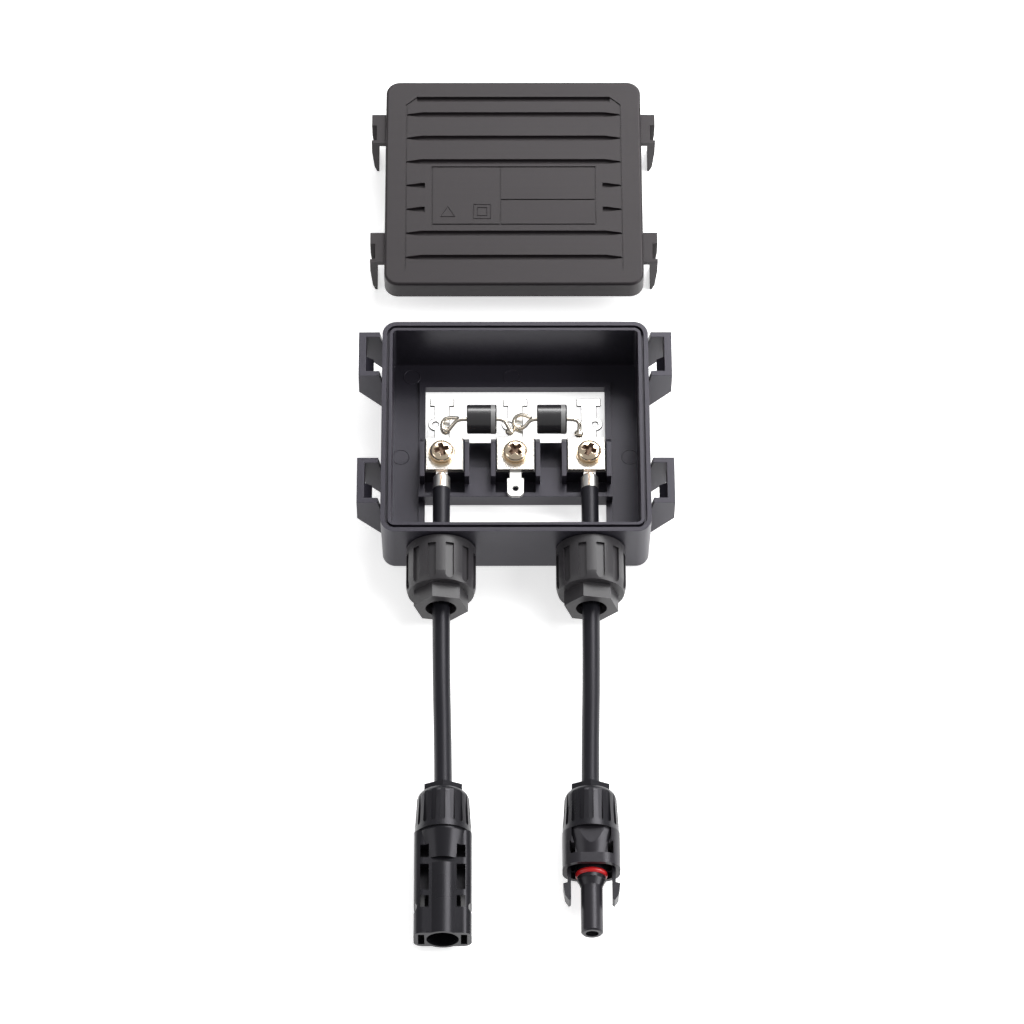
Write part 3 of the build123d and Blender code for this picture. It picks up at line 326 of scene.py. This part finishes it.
def lead_pair(side, routes):
    """Both wires of one diode, the looped ones round their solder, in place of the CAD leads."""
    data = round_curve(f"leads_{side}", LEAD_RADIUS, "solder", roundness=5)
    for route in routes:
        add_route(data, route, resolution=12)
    obj = placed(f"leads_{side}", data, "box")
    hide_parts(f"diode_leads_{side}")


def solder_domes(rings=12, sides=24):
    """Flattened balls of solder, sunk to their middles in the rails, in place of the CAD joints."""
    points, faces = [], []
    for foot_x, foot_y in SOLDER_FEET:
        first = len(points)
        for ring in range(rings + 1):
            polar = math.pi * ring / rings
            for step in range(sides):
                angle = 2 * math.pi * step / sides
                points.append((foot_x + SOLDER_HALF[0] * math.sin(polar) * math.cos(angle),
                               foot_y + SOLDER_HALF[1] * math.sin(polar) * math.sin(angle),
                               RAIL_TOP + SOLDER_HALF[2] * math.cos(polar)))
        for ring in range(rings):
            faces += strip_faces(first + ring * sides, first + (ring + 1) * sides, sides)
    mesh = mesh_of("solder", points, faces, "solder")
    mesh.shade_smooth()
    obj = placed("solder", mesh, "box")
    weld = obj.modifiers.new("poles", "WELD")
    weld.merge_threshold = WELD_GAP * MM
    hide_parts("solder_joints")


for diode_side, routes in LEADS.items():
    lead_pair(diode_side, routes)
solder_domes()


# ---------------------------------------------------------------- terminal screws

HEAD_HEIGHT, HEAD_FLANK, SHANK_RADIUS = 2.5, 1.1, 1.95
DOME_POWER = 2.4
RECESS_ARM, RECESS_HALF, RECESS_DEPTH = 2.8, 0.95, 1.5
RECESS_SIDE_SLOPE, RECESS_END_SLOPE = 2.0, 2.2
# recess faces deeper than this, in mm, get the painted shade colour
RECESS_SHADE = 0.2
SCREW_TURNS = {"left": 14, "middle": 42, "right": 66}


def recess_depth(x, y, turn):
    """Depth of a cross recess with sloping flanks below the head's top, in mm."""
    u = x * math.cos(turn) + y * math.sin(turn)
    v = y * math.cos(turn) - x * math.sin(turn)
    arms = ((abs(u), abs(v)), (abs(v), abs(u)))
    slopes = []
    for along, across in arms:
        side = RECESS_SIDE_SLOPE * (1 - across / RECESS_HALF)
        end = RECESS_END_SLOPE * (1 - along / RECESS_ARM)
        slopes.append(min(side, end, 1.0))
    return RECESS_DEPTH * max(*slopes, 0.0)


def screw(side, rings=64, steps=160):
    """Pan head with its cross recess in a dark colour that is painted shade, over a plain shank, in place of
    the CAD screw.
    """
    node = f"terminal_screw_{side}"
    low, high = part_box(node)
    middle = (low + high) / 2
    head = (high.x - low.x) / 2 / MM
    bottom = (low.z - high.z) / MM
    turn = math.radians(SCREW_TURNS[side])
    profile = []
    for ring in range(1, rings + 1):
        share = math.sin(math.pi / 2 * ring / rings)
        sag = (HEAD_HEIGHT - HEAD_FLANK) * (1 - (1 - share ** DOME_POWER) ** (1 / DOME_POWER))
        profile.append((head * share, -sag))
    profile += [(head, -HEAD_HEIGHT), (SHANK_RADIUS, -HEAD_HEIGHT), (SHANK_RADIUS, bottom)]
    points = [(0, 0, -RECESS_DEPTH)]
    for radius, z in profile:
        for step in range(steps):
            angle = 2 * math.pi * step / steps
            x, y = radius * math.cos(angle), radius * math.sin(angle)
            points.append((x, y, min(z, -recess_depth(x, y, turn))))
    last = len(points)
    points.append((0, 0, bottom))
    faces = [(0, 1 + step, 1 + (step + 1) % steps) for step in range(steps)]
    for ring in range(len(profile) - 1):
        faces += strip_faces(1 + ring * steps, 1 + (ring + 1) * steps, steps)
    edge = last - steps
    faces += [(last, edge + (step + 1) % steps, edge + step) for step in range(steps)]
    mesh = mesh_of(f"screw_{side}", points, faces, "nickel", "recess")
    # faces deep in the cross recess get the dark recess colour, painted shade where the recess lies in shadow
    for face in mesh.polygons:
        center = face.center / MM
        if recess_depth(center.x, center.y, turn) > RECESS_SHADE and center.z > -HEAD_HEIGHT:
            face.material_index = 1
    mesh.shade_smooth()
    mesh.set_sharp_from_angle(angle=math.radians(40))
    mesh.transform(Matrix.Translation((middle.x, middle.y, high.z)))
    obj = placed(f"screw_{side}", mesh, node)
    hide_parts(node)


for screw_side in SCREW_TURNS:
    screw(screw_side)


# ---------------------------------------------------------------- crimped strands

CRIMP_RADIUS = 3.0
STRAND_RADIUS, STRAND_LIFT, STRAND_SWAY = 0.2, 0.02, 0.12
STRANDS = (  # distance aside, Y of the back and front end, radius
    (-0.45, -13.52, -18.04, 0.14),
    (-0.05, -13.88, -17.86, 0.20),
    (0.40, -13.64, -17.98, 0.12),
    (0.90, -14.28, -17.66, 0.10),
)


def strands(name, middle_x):
    """Fine copper strands that show in the seam along a crimp barrel's top."""
    data = round_curve(name, STRAND_RADIUS, "strand", roundness=2)
    for aside, back, front, radius in STRANDS:
        height = GLAND_Z + math.sqrt(CRIMP_RADIUS ** 2 - aside ** 2) + STRAND_LIFT
        spline = data.splines.new("POLY")
        spline.points.add(3)
        for step, point in enumerate(spline.points):
            sway = STRAND_SWAY * math.sin(2.1 * step + 5 * aside)
            place = Vector((middle_x + aside + sway, back + (front - back) * step / 3, height))
            point.co = (*(place * MM), 1.0)
            point.radius = radius / STRAND_RADIUS
    placed(name, data, "box")


for strand_side, middle_x in (("left", -GLAND_X), ("right", GLAND_X)):
    strands(f"strands_{strand_side}", middle_x)


# ---------------------------------------------------------------- moulded marks

EJECTOR_MARKS = ((-36.5, 33.9), (-1.1, 33.9), (-40.2, 0.9), (40.2, 0.9))
EJECTOR_RADIUS = 2.9
BASE_FLOOR, COVER_TOP = 2.45, 19.95  # just under each surface
SQUARE_SIGN, TRIANGLE_SIGN = (-11.6, 92.6), (-23.9, 91.9)
EJECTOR_LINE, SIGN_LINE = (0.45, 0.17), (0.5, 0.25)  # width and height
CREST_SHARE = 0.3


def ridges(name, outlines, line, look, body):
    """Fine raised lines along closed outlines, as one mesh, with sloping sides."""
    width, height = line
    points, faces = [], []
    for outline in outlines:
        count, first = len(outline), len(points)
        middle = sum((Vector(point) for point in outline), Vector()) / count
        for point in outline:
            inward = (middle - Vector(point)).normalized() * width / 2
            lift = Vector((0, 0, height))
            for corner in (-inward, lift - inward * CREST_SHARE, lift + inward * CREST_SHARE, inward):
                points.append(Vector(point) + corner)
        for index in range(count):
            a, b = first + 4 * index, first + 4 * ((index + 1) % count)
            for edge in range(4):
                after = (edge + 1) % 4
                faces.append((a + edge, a + after, b + after, b + edge))
    placed(name, mesh_of(name, points, faces, look), body)


def ring_outline(place, z, radius, sides):
    """Regular polygon with one corner at the back: a circle with many sides, a triangle with three."""
    angles = [math.pi / 2 + 2 * math.pi * step / sides for step in range(sides)]
    return [(place[0] + radius * math.cos(angle), place[1] + radius * math.sin(angle), z) for angle in angles]


def square_outline(place, z, half):
    """Square round a place, with sides of twice the half size."""
    signs = ((-1, -1), (1, -1), (1, 1), (-1, 1))
    return [(place[0] + x * half, place[1] + y * half, z) for x, y in signs]


ejector_circles = [ring_outline(place, BASE_FLOOR, EJECTOR_RADIUS, 48) for place in EJECTOR_MARKS]
ridges("ejector_marks", ejector_circles, EJECTOR_LINE, "housing", "box")
label_outlines = [
    square_outline(SQUARE_SIGN, COVER_TOP, 3.0),
    square_outline(SQUARE_SIGN, COVER_TOP, 1.7),
    ring_outline(TRIANGLE_SIGN, COVER_TOP, 2.9, 3),
]
ridges("label_signs", label_outlines, SIGN_LINE, "cover", "cover")


# ---------------------------------------------------------------- floor and light

FLOOR_SIZE, FLOOR_DROP = 30, 0.0001
FLOOR_GLOW = 0.6
WORLD_STRENGTH = 0.36
PANELS = {  # place and aim in metres, width and height, watts
    "back panel": ((0.35, 1.5, 1.25), (0, 0.02, 0), (2.0, 0.7), 28),
    "top panel": ((0.7, 0.85, 1.5), (0, 0.03, 0), (1.2, 0.7), 19),
    "left panel": ((-1.3, -0.2, 0.8), (0, 0, 0), (0.5, 1.2), 3),
    "right panel": ((1.3, -0.2, 0.8), (0, 0, 0), (0.4, 1.2), 15),
}


def floor_material():
    """Plain matt white that glows a little, so that it stays as bright as the photo's."""
    made = bpy.data.materials.new("pale floor")
    made.use_nodes = True
    shader = made.node_tree.nodes["Principled BSDF"]
    shader.inputs["Base Color"].default_value = (0.92, 0.92, 0.92, 1)
    shader.inputs["Roughness"].default_value = 0.6
    shader.inputs["Specular IOR Level"].default_value = 0.1
    shader.inputs["Emission Color"].default_value = (1, 1, 1, 1)
    shader.inputs["Emission Strength"].default_value = FLOOR_GLOW
    return made


def softbox(name, place, aim, size, power):
    """White rectangular area light, aimed at a point."""
    data = bpy.data.lights.new(name, "AREA")
    data.shape = "RECTANGLE"
    data.size, data.size_y = size
    data.energy = power
    obj = bpy.data.objects.new(name, data)
    bpy.context.scene.collection.objects.link(obj)
    obj.location = place
    obj.rotation_euler = (Vector(aim) - Vector(place)).to_track_quat("-Z", "Y").to_euler()


bpy.ops.mesh.primitive_plane_add(size=FLOOR_SIZE, location=(0, 0, -FLOOR_DROP))
floor = bpy.context.object
floor.name = "floor"
floor.data.materials.append(floor_material())

world = bpy.data.worlds.new("studio")
bpy.context.scene.world = world
world.use_nodes = True
world.node_tree.nodes["Background"].inputs["Color"].default_value = (1.0, 1.0, 1.0, 1)
world.node_tree.nodes["Background"].inputs["Strength"].default_value = WORLD_STRENGTH

for panel_name, (place, aim, size, power) in PANELS.items():
    softbox(panel_name, place, aim, size, power)


# ---------------------------------------------------------------- camera

SENSOR_WIDTH = 36.0
FOCAL_SHARE = 4537.3 / 1024  # focal length over the sensor's width
CAMERA_AT = Vector((-8.75, -811.4, 1370.9)) * MM
PITCH, YAW, ROLL = math.radians(60.0), math.radians(0.545), math.radians(0.416)

ahead = Vector((math.sin(YAW) * math.cos(PITCH), math.cos(YAW) * math.cos(PITCH), -math.sin(PITCH)))
right = Vector((math.cos(YAW), -math.sin(YAW), 0))
up = right.cross(ahead)
right_rolled = math.cos(ROLL) * right + math.sin(ROLL) * up
up_rolled = -math.sin(ROLL) * right + math.cos(ROLL) * up

camera_data = bpy.data.cameras.new("camera")
camera_data.sensor_width = SENSOR_WIDTH
camera_data.lens = FOCAL_SHARE * SENSOR_WIDTH
camera_data.clip_start, camera_data.clip_end = 0.05, 50
camera = bpy.data.objects.new("camera", camera_data)
bpy.context.scene.collection.objects.link(camera)
facing = Matrix((right_rolled, up_rolled, -ahead)).transposed()
camera.matrix_world = Matrix.Translation(CAMERA_AT) @ facing.to_4x4()
bpy.context.scene.camera = camera
bpy.context.scene.view_settings.view_transform = "Standard"

bpy.context.view_layer.update()
